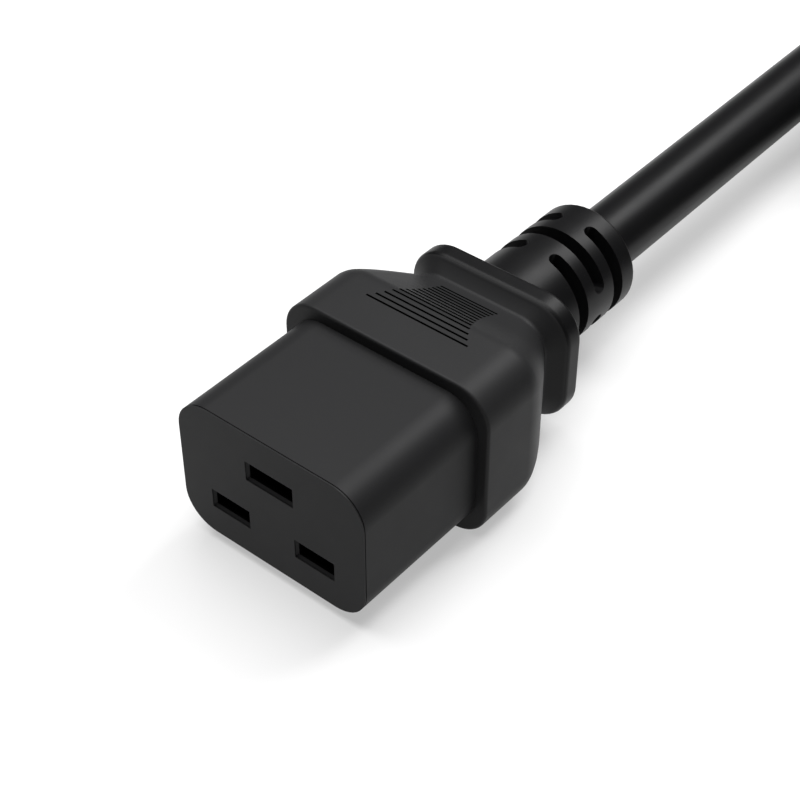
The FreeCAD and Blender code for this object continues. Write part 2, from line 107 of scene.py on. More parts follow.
class InsertSizes(bpy.types.PropertyGroup):
    """The hard insert with its three openings"""
    corner: length("Corner radius", "Radius of the insert's four long corners", 0.0046)
    edge_line: length("Edge line", "Width of the fine line round the mating face", 0.00014)
    opening_line: length("Opening line", "Depth of the fine line round an opening", 0.00014)
    opening_rim: length("Opening rim", "From the mating face to that line", 0.000042)
    tail: length("Tail", "Length that the grip is moulded round", 0.0070)
    tail_inset: length("Tail inset", "How far the tail stands in from the nose", 0.0022)
    earth_width: length("Earth opening width", "Across the earth opening", 0.0066)
    earth_height: length("Earth opening height", "Height of the earth opening", 0.0023)
    earth_rise: length("Earth rise", "From the axis up to the earth opening", 0.0039)
    power_width: length("Power opening width", "Across a line or neutral opening", 0.0054)
    power_height: length("Power opening height", "Height of a line or neutral opening", 0.0022)
    power_drop: length("Power drop", "From the axis down to the power openings", 0.00405)
    power_pitch: length("Power pitch", "Between the two power openings", 0.013)
    lead_in: length("Lead-in", "Chamfer round each opening", 0.0003)
    front_wall: length("Front wall", "From the mating face to the chambers", 0.0020)
    chamber_height: length("Chamber height", "Height of a contact chamber", 0.0056)
    chamber_room: length("Chamber room", "How much wider a chamber is, each side", 0.0005)
    chamber_depth: length("Chamber depth", "Depth of a contact chamber", 0.0145)


class GripSizes(bpy.types.PropertyGroup):
    """The soft moulding: collar, taper, finger flange and strain relief"""
    collar_straight: length("Collar length", "Level part of the connector's collar", 0.0092)
    plug_straight: length("Plug collar length", "Level part of the plug's collar", 0.0075)
    collar_corner: length("Collar corner", "Corner radius of the collar", 0.0050)
    plug_corner: length("Plug corner", "Corner radius of the plug's collar", 0.00715)
    collar_edge: length("Collar edge", "Rounding of the collar's front edge", 0.00035)
    taper: length("Taper length", "From the collar's bend to the flange", 0.0113)
    neck_half_width: length("Neck half-width", "Half the width where the taper ends", 0.0090)
    neck_half_height: length("Neck half-height", "Half the height where it ends", 0.0062)
    neck_corner: length("Neck corner", "Corner radius where the taper ends", 0.0037)
    shoulder: length("Shoulder", "How far before the bend the sides start to draw in", 0.0011)
    neck_slope: amount("Neck slope", "Of the sides where the taper ends", 0.45)
    top_bend: length("Top bend", "Radius of the bend in the top", 0.0035)
    neck_flare: length("Neck flare", "Concave radius where the taper meets the flange", 0.0004)
    face_lean: length("Finger face lean", "How far its foot stands before its top", 0.0020)
    flange_side: length("Flange side step", "How far the flange stands out sideways", 0.0033)
    flange_top: length("Flange top step", "How far the flange stands out above", 0.0028)
    flange_thickness: length("Flange thickness", "Front to back of the flange", 0.0026)
    flange_corner: length("Flange corner", "Corner radius of the flange", 0.0053)
    flange_edge: length("Flange edge", "Rounding of the flange's edges", 0.00045)
    relief_wall: length("Relief wall", "Wall of the strain relief round the cord", 0.00305)
    relief_length: length("Relief length", "From the flange to the relief's end", 0.0191)
    relief_edge: length("Relief edge", "Rounding of the relief's end", 0.0004)
    jacket_inside: length("Jacket inside", "Where the jacket starts behind the flange", 0.0020)
    slot_rows: IntProperty(name="Slot rows", description="Rows of slots in the relief",
                           default=3, min=1)
    first_slot: length("First slot row", "From the flange to the first row", 0.00765)
    slot_pitch: length("Slot pitch", "From one row to the next", 0.00385)
    slot_width: length("Slot width", "Along the cord", 0.0020)
    slot_floor: length("Slot floor", "Wall left round the cord under the slots", 0.0008)
    web: degrees("Web angle", "Between two slots of a row", 28)
    grooves: IntProperty(name="Grooves", description="Grooves across the top", default=13, min=0)
    groove_pitch: length("Groove pitch", "From one groove to the next", 0.00091)
    groove_width: length("Groove width", "Width of one groove on the level", 0.00030)
    slope_groove: length("Slope groove width", "Width of one groove on the taper", 0.00042)
    groove_depth: length("Groove depth", "Depth of one groove", 0.00045)
    first_groove: length("First groove", "Behind the collar's front edge", 0.00605)
    groove_waist: length("Groove waist", "Half-length of the shortest groove", 0.0044)
    groove_arc: length("Groove arc", "Radius of the arcs that the groove ends follow", 0.0138)
    waist_place: length("Waist place", "From the collar's bend to the shortest groove", 0.0058)


class PlugSizes(bpy.types.PropertyGroup):
    """The shroud of the plug at the far end"""
    wall: length("Shroud wall", "Wall of the shroud", 0.0020)
    floor: length("Shroud floor", "Thickness of the floor that carries the blades", 0.0045)
    edge: length("Shroud edge", "Rounding of the shroud's rim", 0.0006)


class CordSizes(bpy.types.PropertyGroup):
    """The cord and how it is put away"""
    length: length("Cord length", "Length of the whole cord", 1.85)
    turn_gap: length("Turn gap", "Room between turns that lie together", 0.0001)
    skin: length("Coil skin", "Room between the bundle and its ties", 0.0001)
    coil_centre_y: length("Coil centre", "Along the cord's own axis", 0.127)
    points_per_turn: IntProperty(name="Points per turn", description="Route points in each turn",
                                 default=24, min=12)
    tie_width: length("Tie width", "Width of a strap", 0.014)
    tie_thickness: length("Tie thickness", "Room for a strap between the coil and the floor",
                          0.001)
    tie_corner: length("Tie corner", "Rounding of the strap's way round the bundle", 0.0012)
    tie_edge: length("Tie edge", "Rounding of a strap's edges", 0.00025)


class FinishSettings(bpy.types.PropertyGroup):
    """Colours and gloss of the mouldings"""
    insert_colour: colour("Insert", "Hard black moulding", (0.012, 0.012, 0.0125))
    insert_roughness: share("Insert roughness", "The higher, the more matt", 0.50)
    sheen: share("Surface shine", "Strength of the reflections on every moulding", 0.11)
    grip_colour: colour("Grip", "Soft black moulding", (0.0145, 0.0145, 0.015))
    grip_roughness: share("Grip roughness", "The higher, the more matt", 0.48)
    # Painted shade for the grooves and the deep parts of the openings.
    painted_shade_colour: colour("Painted recess shade", "In the grooves and openings", (0.001, 0.001, 0.001))
    jacket_colour: colour("Jacket", "Cord jacket and strain relief", (0.0045, 0.0045, 0.0048))
    jacket_roughness: share("Jacket roughness", "Also of the strain relief", 0.38)


class StageSettings(bpy.types.PropertyGroup):
    """Camera, floor and lights"""
    camera_place: position("Camera place", "Where the camera stands",
                           (0.101126, -0.12985, 0.15274))
    azimuth: degrees("Azimuth", "Turn of the view about the vertical", 39.7)
    elevation: degrees("Elevation", "Of the camera above the horizon", 41.6)
    roll: degrees("Roll", "Turn of the camera about its own axis", 0.10)
    lens: FloatProperty(name="Lens", description="Focal length for the sensor's width",
                        default=78.9, min=1.0, subtype="DISTANCE_CAMERA")
    sensor: FloatProperty(name="Sensor", description="Width of the camera's sensor",
                          default=36.0, min=1.0, subtype="DISTANCE_CAMERA")
    floor_side: length("Floor side", "From the middle of the floor to its edge", 6.0)
    floor_colour: colour("Floor", "Pale translucent floor", (0.39, 0.39, 0.39))
    floor_roughness: share("Floor roughness", "The higher, the more matt", 0.9)
    floor_glow: amount("Floor glow", "Light through the floor", 0.45)
    room_strength: amount("Room strength", "Dim light from all round", 0.05)
    light_aim: position("Light aim", "What both softboxes point at", (0.0, 0.02, 0.015))
    key_place: position("Key place", "Softbox behind and above", (0.06, 0.39, 0.47))
    key_size: length("Key size", "Side of the softbox", 0.27)
    key_power: amount("Key power", "Of the softbox behind", 2.7, unit="POWER")
    fill_place: position("Fill place", "Wide softbox overhead", (-0.12, 0.02, 0.60))
    fill_size: length("Fill size", "Side of the wide softbox", 0.60)
    fill_power: amount("Fill power", "Of the wide softbox", 6.6, unit="POWER")


# ---- Mesh helpers; a section is (y, half width, half height, corner radius) ----

def round_corners(bm, verts, radius, segments):
    """Rounds the corners of a flat face."""
    bmesh.ops.bevel(bm, geom=verts, offset=radius, segments=segments, profile=0.5,
                    affect="VERTICES", material=-1)


def rounded_face(bm, section, segments):
    """A flat face across Y with rounded corners."""
    y, half_width, half_height, corner = section
    stand = Matrix.Translation((0, y, 0)) @ Matrix.Rotation(math.radians(90), 4, "X")
    size = Matrix.Diagonal((half_width, half_height, 1, 1))
    made = bmesh.ops.create_grid(bm, x_segments=1, y_segments=1, size=1.0, matrix=stand @ size)
    if corner > 0:
        round_corners(bm, made["verts"], corner, segments)
    return bm.faces[:][-1]


def reshape(verts, old, new):
    """Moves the corners of one section to those of the next."""
    _, old_width, old_height, old_corner = old
    y, width, height, corner = new
    ratio = corner / old_corner if old_corner > 0 else 1.0
    for vert in verts:
        across = abs(vert.co.x) - (old_width - old_corner)
        rise = abs(vert.co.z) - (old_height - old_corner)
        vert.co.x = math.copysign(width - corner + across * ratio, vert.co.x)
        vert.co.z = math.copysign(height - corner + rise * ratio, vert.co.z)
        vert.co.y = y


def stack(bm, sections, segments=10):
    """A closed shape through a row of sections."""
    first = face = rounded_face(bm, sections[0], segments)
    for old, new in zip(sections, sections[1:]):
        made = bmesh.ops.extrude_face_region(bm, geom=[face])
        if face is not first:
            bmesh.ops.delete(bm, geom=[face], context="FACES_ONLY")
        face = next(item for item in made["geom"] if isinstance(item, bmesh.types.BMFace))
        reshape(face.verts, old, new)


def finished_mesh(bm, name):
    """Merges what coincides, drops flat faces and turns every face outwards."""
    bmesh.ops.remove_doubles(bm, verts=bm.verts, dist=MERGE)
    bmesh.ops.dissolve_degenerate(bm, edges=bm.edges, dist=MERGE)
    bmesh.ops.recalc_face_normals(bm, faces=bm.faces)
    mesh = bpy.data.meshes.new(name)
    bm.to_mesh(mesh)
    bm.free()
    return mesh


def coat(mesh, *finishes):
    """Gives a mesh its finishes, in the order of its material slots."""
    for finish in finishes:
        mesh.materials.append(bpy.data.materials[finish])


def linked(name, data):
    """A new object in the scene."""
    obj = bpy.data.objects.new(name, data)
    bpy.context.scene.collection.objects.link(obj)
    return obj


def piece(mesh, name, node):
    """A finished piece of the object on its one body."""
    obj = linked(name, mesh)
    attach(obj, "root")
    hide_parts(node)
    return obj


def smooth(mesh):
    """Smooth shading with hard edges where faces meet at more than the sharp angle."""
    mesh.shade_smooth()
    mesh.set_sharp_from_angle(angle=SHARP)


def flat_faces_first(obj):
    """Large flat faces keep their own normals beside small rounded edges."""
    modifier = obj.modifiers.new("Flat faces", "WEIGHTED_NORMAL")
    modifier.keep_sharp = True


def cut(mesh, cutters, name):
    """A mesh with every cutter's shape taken out of it."""
    body = linked(name, mesh)
    tools = []
    for number, cutter in enumerate(cutters):
        tool = linked("%s_cutter_%d" % (name, number), cutter)
        modifier = body.modifiers.new("Cut %d" % number, "BOOLEAN")
        modifier.operation = "DIFFERENCE"
        modifier.solver = "EXACT"
        modifier.object = tool
        tools.append(tool)
    bpy.context.view_layer.update()
    evaluated = body.evaluated_get(bpy.context.evaluated_depsgraph_get())
    result = bpy.data.meshes.new_from_object(evaluated)
    for obj in tools + [body]:
        bpy.data.objects.remove(obj)
    return result


def edge_round(radius, steps=5):
    """Steps of a rounded edge: distance from its end face, and how far the outline draws in.

    A ring just past each end of the arc keeps the faces beside it flat in the shading.
    """
    turns = [math.radians(90.0 * step / steps) for step in range(steps + 1)]
    arc = [(radius * (1 - math.cos(turn)), radius * (1 - math.sin(turn))) for turn in turns]
    past = 1.4 * radius
    return [(0.0, past)] + arc + [(past, 0.0)]


def eased(part):
    """A share from 0 to 1 that starts and ends gently."""
    return part * part * (3 - 2 * part)


def drawn_in(outline, inset):
    """An outline (half width, half height, corner radius) made smaller all round."""
    return tuple(size - inset for size in outline)


# ---- Finishes ----

def surface_group(name, inputs):
    """An empty shader group that gives colour, roughness and normal, and its two end nodes."""
    group = bpy.data.node_groups.new(name, "ShaderNodeTree")
    for label, default in inputs.items():
        kind = "NodeSocketColor" if isinstance(default, tuple) else "NodeSocketFloat"
        socket = group.interface.new_socket(name=label, in_out="INPUT", socket_type=kind)
        socket.default_value = default
    for label, kind in (("Colour", "Color"), ("Roughness", "Float"), ("Normal", "Vector")):
        group.interface.new_socket(name=label, in_out="OUTPUT", socket_type="NodeSocket" + kind)
    return group, group.nodes.new("NodeGroupInput"), group.nodes.new("NodeGroupOutput")


def feed(tree, socket, value):
    """Links a socket to another one's value, or sets it to a fixed value."""
    if isinstance(value, bpy.types.NodeSocket):
        tree.links.new(value, socket)
    else:
        socket.default_value = value


def math_node(tree, operation, first, second):
    node = tree.nodes.new("ShaderNodeMath")
    node.operation = operation
    for socket, value in zip(node.inputs, (first, second)):
        feed(tree, socket, value)
    return node.outputs["Value"]


def noise(tree, vector, scale, detail=2.0, roughness=0.5):
    node = tree.nodes.new("ShaderNodeTexNoise")
    for label, value in (("Vector", vector), ("Scale", scale), ("Detail", detail),
                         ("Roughness", roughness)):
        feed(tree, node.inputs[label], value)
    return node.outputs["Fac"]


def map_range(tree, value, low, high, to_low, to_high):
    node = tree.nodes.new("ShaderNodeMapRange")
    for label, number in (("Value", value), ("From Min", low), ("From Max", high),
                          ("To Min", to_low), ("To Max", to_high)):
        feed(tree, node.inputs[label], number)
    return node.outputs["Result"]


def mixed(tree, factor, first, second):
    node = tree.nodes.new("ShaderNodeMix")
    node.data_type = "RGBA"
    colour_a, colour_b, colour_result = node.inputs[6], node.inputs[7], node.outputs[2]
    for socket, value in ((node.inputs["Factor"], factor), (colour_a, first), (colour_b, second)):
        feed(tree, socket, value)
    return colour_result


def surface_bump(tree, height, strength, distance):
    """The normal of a surface with a fine relief."""
    bump = tree.nodes.new("ShaderNodeBump")
    for label, value in (("Height", height), ("Strength", strength), ("Distance", distance)):
        feed(tree, bump.inputs[label], value)
    return bump.outputs["Normal"]


def moulded_surface_group():
    """Fine mould grain, faint flow clouds and a little dust, for every plastic."""
    group, start, end = surface_group("Moulded surface", {
        "Colour": (0.02, 0.02, 0.02, 1.0), "Roughness": 0.45, "Grain Scale": 5200.0,
        "Grain Depth": 0.10, "Cloud": 0.12, "Dust": 0.02})
    place = group.nodes.new("ShaderNodeTexCoord").outputs["Object"]
    grain = noise(group, place, start.outputs["Grain Scale"], detail=3.0)
    cloud = noise(group, place, 260.0, detail=3.0)
    specks = noise(group, place, 9000.0, detail=1.0)
    group.links.new(surface_bump(group, grain, start.outputs["Grain Depth"], 0.02 * MM),
                    end.inputs["Normal"])
    swing = math_node(group, "MULTIPLY", math_node(group, "SUBTRACT", cloud, 0.5),
                      start.outputs["Cloud"])
    rough = math_node(group, "ADD", start.outputs["Roughness"], swing)
    group.links.new(rough, end.inputs["Roughness"])
    dusty = map_range(group, specks, 0.66, 0.80, 0.0, start.outputs["Dust"])
    tone = mixed(group, dusty, start.outputs["Colour"], (0.55, 0.54, 0.52, 1.0))
    group.links.new(tone, end.inputs["Colour"])


def rolled_metal_group():
    """Rolled strip: fine lines along the blade and a little tarnish."""
    group, start, end = surface_group("Rolled metal", {
        "Colour": (0.8, 0.8, 0.8, 1.0), "Tarnish": (0.4, 0.3, 0.2, 1.0), "Roughness": 0.3})
    place = group.nodes.new("ShaderNodeTexCoord").outputs["Object"]
    stretch = group.nodes.new("ShaderNodeMapping")
    stretch.inputs["Scale"].default_value = (6000.0, 300.0, 6000.0)
    group.links.new(place, stretch.inputs["Vector"])
    lines = noise(group, stretch.outputs["Vector"], 1.0, detail=2.0)
    patches = noise(group, place, 500.0, detail=4.0)
    group.links.new(surface_bump(group, lines, 0.25, 0.01 * MM), end.inputs["Normal"])
    aged = map_range(group, patches, 0.45, 0.8, 0.0, 0.6)
    group.links.new(mixed(group, aged, start.outputs["Colour"], start.outputs["Tarnish"]),
                    end.inputs["Colour"])
    group.links.new(math_node(group, "ADD", start.outputs["Roughness"],
                              math_node(group, "MULTIPLY", aged, 0.25)),
                    end.inputs["Roughness"])


def new_material(name):
    """The node tree and the main shader of a new material."""
    material = bpy.data.materials.new(name)
    material.use_nodes = True
    return material.node_tree, material.node_tree.nodes["Principled BSDF"]


def grouped_material(name, group, values, shader):
    """A material whose colour, roughness and normal come from one shared group."""
    tree, principled = new_material(name)
    effect = tree.nodes.new("ShaderNodeGroup")
    effect.node_tree = bpy.data.node_groups[group]
    for label, value in values.items():
        effect.inputs[label].default_value = value
    for made, used in (("Colour", "Base Color"), ("Roughness", "Roughness"),
                       ("Normal", "Normal")):
        tree.links.new(effect.outputs[made], principled.inputs[used])
    for label, value in shader.items():
        principled.inputs[label].default_value = value


def opaque(rgb):
    return (*rgb, 1.0)


def plastic(name, rgb, roughness, grain, depth, cloud, dust, sheen=0.5):
    """One kind of plastic with the shared moulded surface."""
    grouped_material(
        name, "Moulded surface",
        {"Colour": opaque(rgb), "Roughness": roughness, "Grain Scale": grain,
         "Grain Depth": depth, "Cloud": cloud, "Dust": dust},
        {"Specular IOR Level": sheen})


def insert_finish(finish):
    """Hard nylon, matt, with a very fine even grain."""
    plastic(HARD, finish.insert_colour, finish.insert_roughness, grain=6500.0, depth=0.10,
            cloud=0.06, dust=0.01, sheen=finish.sheen)


def grip_finishes(finish):
    """Soft PVC: matt on the grip, satin from the flange's rim on, and painted shade in every
    recess.
    """
    for name, rgb, roughness, sheen in (
            (GRIP, finish.grip_colour, finish.grip_roughness, finish.sheen),
            # Painted shade: near black, fully matt and without shine.
            (PAINTED_SHADE, finish.painted_shade_colour, 1.0, 0.0),
            (RELIEF, finish.jacket_colour, finish.jacket_roughness, finish.sheen)):
        plastic(name, rgb, roughness, grain=4200.0, depth=0.16, cloud=0.10, dust=0.02,
                sheen=sheen)


def jacket_finish(finish):
    """Extruded PVC, smoother than the mouldings."""
    plastic("Black cord jacket", finish.jacket_colour, finish.jacket_roughness, grain=3000.0,
            depth=0.08, cloud=0.08, dust=0.01, sheen=finish.sheen)


def core_finish(name, rgb):
    """Insulation of one core, glossier than the jacket."""
    plastic(name, rgb, roughness=0.35, grain=3000.0, depth=0.05, cloud=0.08, dust=0.02)


def metal_finish(name, rgb, tarnish, roughness):
    """Bare metal with the shared rolled surface."""
    grouped_material(
        name, "Rolled metal",
        {"Colour": opaque(rgb), "Tarnish": opaque(tarnish), "Roughness": roughness},
        {"Metallic": 1.0})


def strap_finish():
    """Black hook-and-loop strap: a woven ground with a short pile."""
    tree, principled = new_material("Black woven strap")
    place = tree.nodes.new("ShaderNodeTexCoord").outputs["Object"]
    pile = noise(tree, place, 2600.0, detail=4.0, roughness=0.7)
    weave = tree.nodes.new("ShaderNodeTexWave")
    weave.inputs["Scale"].default_value = 420.0
    weave.inputs["Distortion"].default_value = 1.5
    tree.links.new(place, weave.inputs["Vector"])
    height = math_node(tree, "ADD", pile, math_node(tree, "MULTIPLY", weave.outputs["Fac"], 0.5))
    tree.links.new(surface_bump(tree, height, 0.6, 0.12 * MM), principled.inputs["Normal"])
    tree.links.new(mixed(tree, pile, (0.008, 0.008, 0.009, 1.0), (0.035, 0.035, 0.037, 1.0)),
                   principled.inputs["Base Color"])
    principled.inputs["Roughness"].default_value = 0.85


# ---- Shapes of the connector, with its mating face at y = 0 and its axis on x = z = 0 ----

def openings(sizes):
    """Place, half width and half height of the opening for each pole, earth first."""
    earth = (sizes.earth_width / 2, sizes.earth_height / 2)
    power = (sizes.power_width / 2, sizes.power_height / 2)
    return [((0.0, 0.0, sizes.earth_rise), *earth)] + [
        ((side * sizes.power_pitch / 2, 0.0, -sizes.power_drop), *power) for side in (-1, 1)]


def move_into(mesh, low, high):
    """Puts a shape on the axis of a box, with its y = 0 at the box's near end."""
    near_end = Vector(((low.x + high.x) / 2, low.y, (low.z + high.z) / 2))
    mesh.transform(Matrix.Translation(near_end))


def with_tail(insert, sections, outline, nose_length):
    """Adds the nose's rear end and the narrower tail that the grip is moulded round."""
    tail = drawn_in(outline, insert.tail_inset)
    return sections + [(nose_length, *outline), (nose_length, *tail),
                       (nose_length + insert.tail, *tail)]


def insert_mesh(sizes, outline, nose_length):
    """The hard insert as a full block, with the fine line round its mating face."""
    bm = bmesh.new()
    line = sizes.edge_line
    sections = [(along, *drawn_in(outline, inset))
                for along, inset in ((0, line), (0, 0), (line, 0), (line, line),
                                     (2 * line, line), (2 * line, 0), (3 * line, 0))]
    stack(bm, with_tail(sizes, sections, outline, nose_length))
    return finished_mesh(bm, "socket_insert")


def opening_mesh(sizes, place, half_width, half_height):
    """What is taken out for one pole: a lined, chamfered opening and the chamber, whose deep
    walls get painted shade.
    """
    bm = bmesh.new()
    rim, line, chamfer = sizes.opening_rim, sizes.opening_line, sizes.lead_in
    mouth = line + chamfer
    chamber = (half_width + sizes.chamber_room, sizes.chamber_height / 2, 0.0)
    stack(bm, [(along, half_width + wider, half_height + wider, 0.0) for along, wider in (
        (-line, chamfer), (rim, chamfer), (rim, mouth), (line, mouth), (line, chamfer),
        (mouth, 0.0), (sizes.front_wall, 0.0))] + [
        (sizes.front_wall, *chamber),
        (sizes.front_wall + sizes.chamber_depth, *chamber),
    ])
    # Faces deeper than the mouth get the painted shade.
    for face in bm.faces:
        if face.calc_center_median().y > mouth:
            face.material_index = INSERT_FINISHES.index(PAINTED_SHADE)
    bmesh.ops.translate(bm, verts=bm.verts, vec=place)
    return finished_mesh(bm, "opening")


def bend_profile(y, bend, large, small, radius, taper):
    """Half of a size along the grip: level, then round the bend, then down the taper."""
    slope = (large - small) / taper
    angle = math.atan(slope)
    reach = radius * math.tan(angle / 2)
    if y <= bend - reach:
        return large
    if y < bend + reach * math.cos(angle):
        return large - radius + math.sqrt(radius ** 2 - (y - bend + reach) ** 2)
    return large - slope * (y - bend)


def shoulder_profile(y, start, end, large, small, slope):
    """Half of a width that leaves its level part smoothly and ends on a slope."""
    run = end - start
    part = min(max((y - start) / run, 0.0), 1.0)
    end_slope = slope * run * (part - 1) * part * part
    return large + (small - large) * eased(part) - end_slope


def grip_section(sizes, y, bend, outline, flare=0.0):
    """The section at y, from the collar's level part to the end of the taper."""
    half_width, half_height, corner = outline
    along = max(0.0, (y - bend) / sizes.taper)
    return (
        y,
        shoulder_profile(y, bend - sizes.shoulder, bend + sizes.taper, half_width,
                         sizes.neck_half_width, sizes.neck_slope) + flare,
        bend_profile(y, bend, half_height, sizes.neck_half_height, sizes.top_bend,
                     sizes.taper) + flare,
        corner + (sizes.neck_corner - corner) * along + flare,
    )


def grip_sections(sizes, bend, outline):
    """Sections from the collar's front edge, at y = 0, to the end of the strain relief."""
    neck = bend + sizes.taper
    sections = [(along, *drawn_in(outline, inset))
                for along, inset in edge_round(sizes.collar_edge)]
    first = bend - sizes.shoulder
    foot = neck - sizes.face_lean
    before_flare = 1.5 * sizes.neck_flare
    run = foot - before_flare - first
    steps = 36
    sections += [grip_section(sizes, first + run * step / steps, bend, outline)
                 for step in range(steps + 1)]
    lean = sizes.face_lean / sizes.flange_top
    sections += [grip_section(sizes, foot - draw + lean * flare, bend, outline, flare)
                 for flare, draw in edge_round(sizes.neck_flare, steps=8)]
    flange = (sizes.neck_half_width + sizes.flange_side,
              sizes.neck_half_height + sizes.flange_top, sizes.flange_corner)
    rear = neck + sizes.flange_thickness
    rounding = edge_round(sizes.flange_edge)
    sections += [(neck + along - lean * inset, *drawn_in(flange, inset))
                 for along, inset in rounding]
    sections += [(rear - along, *drawn_in(flange, inset))
                 for along, inset in reversed(rounding)]
    relief = 3 * [CORD_RADIUS + sizes.relief_wall]
    first_ring = rear + 0.3 * MM
    end = rear + sizes.relief_length
    sections += [(rear, *relief), (first_ring, *relief)]
    sections += [(end - along, *drawn_in(relief, inset))
                 for along, inset in reversed(edge_round(sizes.relief_edge))]
    return sections


def slot_mesh(sizes):
    """A slot with round ends, bent round the relief, with its middle on +X."""
    inner = CORD_RADIUS + sizes.slot_floor
    outer = CORD_RADIUS + sizes.relief_wall
    half = sizes.slot_width / 2
    end_radius = 0.98 * half
    reach = outer * (math.pi - sizes.web) / 2
    bm = bmesh.new()
    made = bmesh.ops.create_grid(bm, x_segments=1, y_segments=1, size=1.0,
                                 matrix=Matrix.Diagonal((reach, half, 1, 1)))
    round_corners(bm, made["verts"], end_radius, segments=8)
    strips = 32
    for strip in range(strips + 1):
        place = (reach - half) * (2 * strip / strips - 1)
        bmesh.ops.bisect_plane(bm, geom=bm.verts[:] + bm.edges[:] + bm.faces[:],
                               plane_co=(place, 0, 0), plane_no=(1, 0, 0))
    made = bmesh.ops.extrude_face_region(bm, geom=bm.faces[:])
    raised = [item for item in made["geom"] if isinstance(item, bmesh.types.BMVert)]
    bmesh.ops.translate(bm, verts=raised, vec=(0, 0, outer - inner + MM))
    for vert in bm.verts:
        angle, radius = vert.co.x / outer, inner + vert.co.z
        vert.co.x, vert.co.z = radius * math.cos(angle), -radius * math.sin(angle)
    bmesh.ops.triangulate(bm, faces=bm.faces[:])
    return finished_mesh(bm, "slot")


def slots_mesh(sizes, relief_start):
    """All slots of the relief; the webs of each row are a quarter turn from the next."""
    slot = slot_mesh(sizes)
    count = len(slot.vertices)
    bm = bmesh.new()
    for row in range(sizes.slot_rows):
        y = relief_start + sizes.first_slot + row * sizes.slot_pitch
        for side in (0, 1):
            bm.from_mesh(slot)
            bm.verts.ensure_lookup_table()
            turn = math.pi * side + (row % 2) * math.pi / 2
            bmesh.ops.transform(bm, verts=bm.verts[-count:], matrix=Matrix.Translation(
                (0, y, 0)) @ Matrix.Rotation(turn, 4, "Y"))
    return finished_mesh(bm, "slots")


def grooves_mesh(sizes, bend, half_height):
    """The grooves across the top, shortest at the waist of the pattern."""
    bm = bmesh.new()
    slope = math.atan((half_height - sizes.neck_half_height) / sizes.taper)
    for number in range(sizes.grooves):
        y = sizes.first_groove + number * sizes.groove_pitch - (sizes.collar_straight - bend)
        if y > bend:
            y = bend + (y - bend) * math.cos(slope)
        tilt, width = (-slope, sizes.slope_groove) if y > bend else (0.0, sizes.groove_width)
        z = bend_profile(y, bend, half_height, sizes.neck_half_height, sizes.top_bend,
                         sizes.taper)
        back = max(0.0, bend + sizes.waist_place - y)
        widening = sizes.groove_arc - math.sqrt(sizes.groove_arc ** 2 - back ** 2)
        stand = Matrix.Translation((0, y, z)) @ Matrix.Rotation(tilt, 4, "X")
        size = Matrix.Diagonal((2 * (sizes.groove_waist + widening), width,
                                2 * sizes.groove_depth, 1))
        bmesh.ops.create_cube(bm, size=1.0, matrix=stand @ size)
    # The groove walls take the painted shade from these faces through the cut.
    for face in bm.faces:
        face.material_index = GRIP_FINISHES.index(PAINTED_SHADE)
    return finished_mesh(bm, "grooves")


def shade_relief(mesh, start, radius):
    """The relief's skin is shaded as a true cylinder, also beside its slots."""
    skin_depth, facing_out = 0.1 * MM, 0.99
    normals = [(0.0, 0.0, 0.0)] * len(mesh.loops)
    for face in mesh.polygons:
        outward = Vector((face.center.x, 0, face.center.z))
        on_skin = face.center.y > start and outward.length > radius - skin_depth
        if on_skin and face.normal.dot(outward.normalized()) > facing_out:
            for corner in face.loop_indices:
                place = mesh.vertices[mesh.loops[corner].vertex_index].co
                normals[corner] = Vector((place.x, 0, place.z)).normalized()
    mesh.normals_split_custom_set(normals)


def rear_finish(mesh, neck):
    """The flange's rim and all that lies behind it have the satin finish."""
    for polygon in mesh.polygons:
        if polygon.center.y > neck:
            polygon.material_index = GRIP_FINISHES.index(RELIEF)


def grip_mesh(sizes, insert, bend, outline, nose):
    """The whole soft moulding, with its grooves, slots and the hollows that it is moulded on."""
    bm = bmesh.new()
    stack(bm, grip_sections(sizes, bend, outline), segments=12)
    body = finished_mesh(bm, "grip")
    coat(body, *GRIP_FINISHES)
    neck = bend + sizes.taper
    relief_start = neck + sizes.flange_thickness
    hollow = bmesh.new()
    tail = drawn_in(nose, insert.tail_inset)
    stack(hollow, [(-CLEAR, *tail), (insert.tail, *tail)])
    bore = bmesh.new()
    round_bore = 3 * [CORD_RADIUS]
    stack(bore, [(relief_start + sizes.jacket_inside, *round_bore),
                 (relief_start + sizes.relief_length + MM, *round_bore)], segments=12)
    cutters = [
        grooves_mesh(sizes, bend, outline[1]),
        slots_mesh(sizes, relief_start),
        finished_mesh(hollow, "hollow"),
        finished_mesh(bore, "bore"),
    ]
    mesh = cut(body, cutters, "grip")
    rear_finish(mesh, neck)
    smooth(mesh)
    shade_relief(mesh, relief_start, CORD_RADIUS + sizes.relief_wall)
    return mesh


def shroud_mesh(plug, insert, outline, nose_length):
    """The plug's hollow shroud, open to the front, on its tail."""
    bm = bmesh.new()
    rim = [(along, *drawn_in(outline, inset)) for along, inset in edge_round(plug.edge)]
    stack(bm, with_tail(insert, rim, outline, nose_length), segments=12)
    cavity = bmesh.new()
    room = drawn_in(outline, plug.wall)
    stack(cavity, [(-CLEAR, *room), (nose_length - plug.floor, *room)], segments=12)
    return cut(finished_mesh(bm, "shroud"), [finished_mesh(cavity, "cavity")], "shroud")


def outline_of(low, high, corner):
    """Half width, half height and corner radius of what fills a box."""
    return (high.x - low.x) / 2, (high.z - low.z) / 2, corner


# ---- Operators ----

